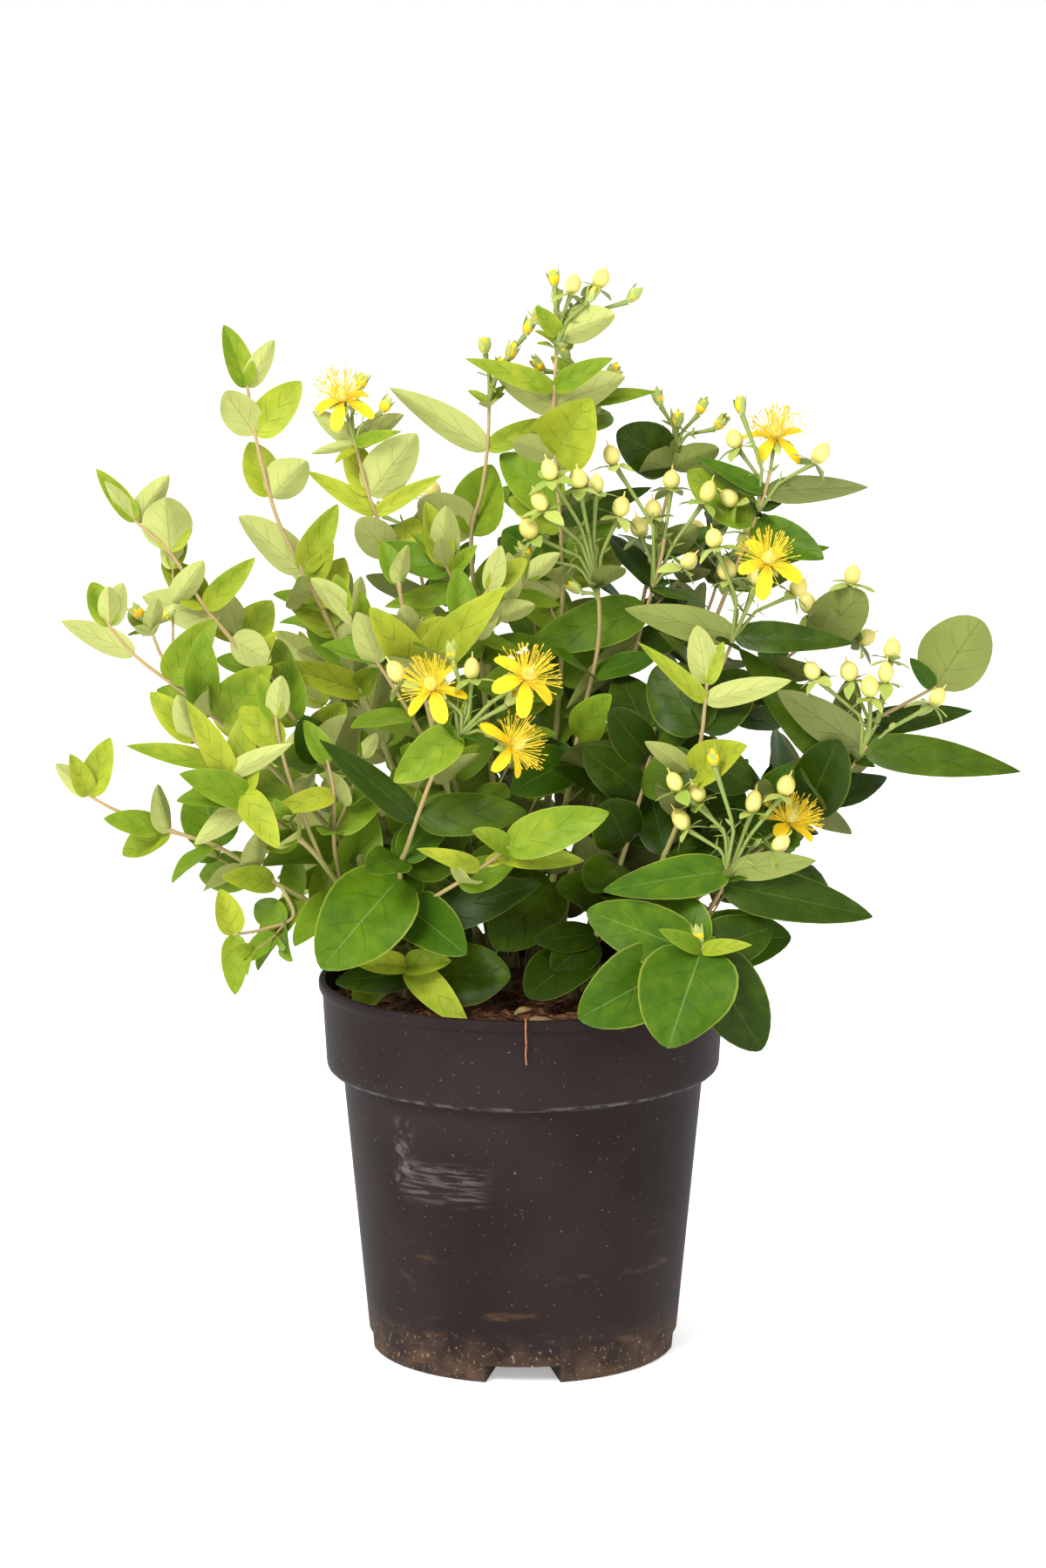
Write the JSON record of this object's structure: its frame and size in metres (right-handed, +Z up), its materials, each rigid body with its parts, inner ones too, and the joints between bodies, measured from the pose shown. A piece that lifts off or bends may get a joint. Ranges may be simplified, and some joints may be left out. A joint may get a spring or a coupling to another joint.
{
  "type": "potted hypericum shrub",
  "caption": "Bushy flowering shrub in a round plastic nursery pot: slender stems with paired leaves, pale berries and yellow flowers.",
  "frame": {"origin": "centre of the pot's flat underside, on the ground the pot stands on", "axes": "+Z up along the pot's axis, +X to the right as seen in the picture, +Y away from the viewer"},
  "size_m": [0.4593, 0.3009, 0.5309],
  "materials": {
    "pot_plastic": "dark charcoal moulded plastic, dusty and lightly scuffed",
    "soil": "reddish brown fibrous potting compost",
    "stem": "smooth thin bark, pale beige to reddish",
    "foliage_fresh": "young yellow-green leaves, satin",
    "foliage_green": "mid-green leaves, satin",
    "foliage_deep": "dark green mature leaves, satin",
    "berry": "smooth pale yellow fruit, soft gloss",
    "petal": "bright yellow petals and stamens, satin"
  },
  "bodies": {
    "root": {"pot": "pot_plastic", "soil": "soil", "left_spire_stem": "stem", "left_spire_mass": "foliage_fresh", "left_arch_stem": "stem", "left_arch_mass": "foliage_fresh", "left_mid_stem": "stem", "left_mid_mass": "foliage_fresh", "left_low_stem": "stem", "left_low_mass": "foliage_fresh", "left_inner_stem": "stem", "left_inner_mass": "foliage_fresh", "left_front_stem": "stem", "left_front_mass": "foliage_fresh", "flower_left_stem": "stem", "flower_left_mass": "foliage_fresh", "second_top_stem": "stem", "second_top_mass": "foliage_fresh", "apex_stem": "stem", "apex_mass": "foliage_fresh", "centre_flowers_stem": "stem", "centre_flowers_mass": "foliage_green", "rim_left_stem": "stem", "rim_left_mass": "foliage_fresh", "centre_light_stem": "stem", "centre_light_mass": "foliage_fresh", "centre_berries_stem": "stem", "centre_berries_mass": "foliage_green", "centre_right_stem": "stem", "centre_right_mass": "foliage_deep", "right_top_stem": "stem", "right_top_mass": "foliage_deep", "right_mid_stem": "stem", "right_mid_mass": "foliage_deep", "right_end_stem": "stem", "right_end_mass": "foliage_deep", "right_far_stem": "stem", "right_far_mass": "foliage_green", "right_young_stem": "stem", "right_young_mass": "foliage_deep", "right_low_stem": "stem", "right_low_mass": "foliage_green", "rim_right_stem": "stem", "rim_right_mass": "foliage_green", "right_inner_stem": "stem", "right_inner_mass": "foliage_deep", "back_left_stem": "stem", "back_left_mass": "foliage_fresh", "back_mid_left_stem": "stem", "back_mid_left_mass": "foliage_green", "back_mid_stem": "stem", "back_mid_mass": "foliage_green", "back_right_stem": "stem", "back_right_mass": "foliage_deep", "back_low_left_stem": "stem", "back_low_left_mass": "foliage_fresh", "back_low_mid_stem": "stem", "back_low_mid_mass": "foliage_green", "back_low_right_stem": "stem", "back_low_right_mass": "foliage_deep"}
  },
  "joints": []
}
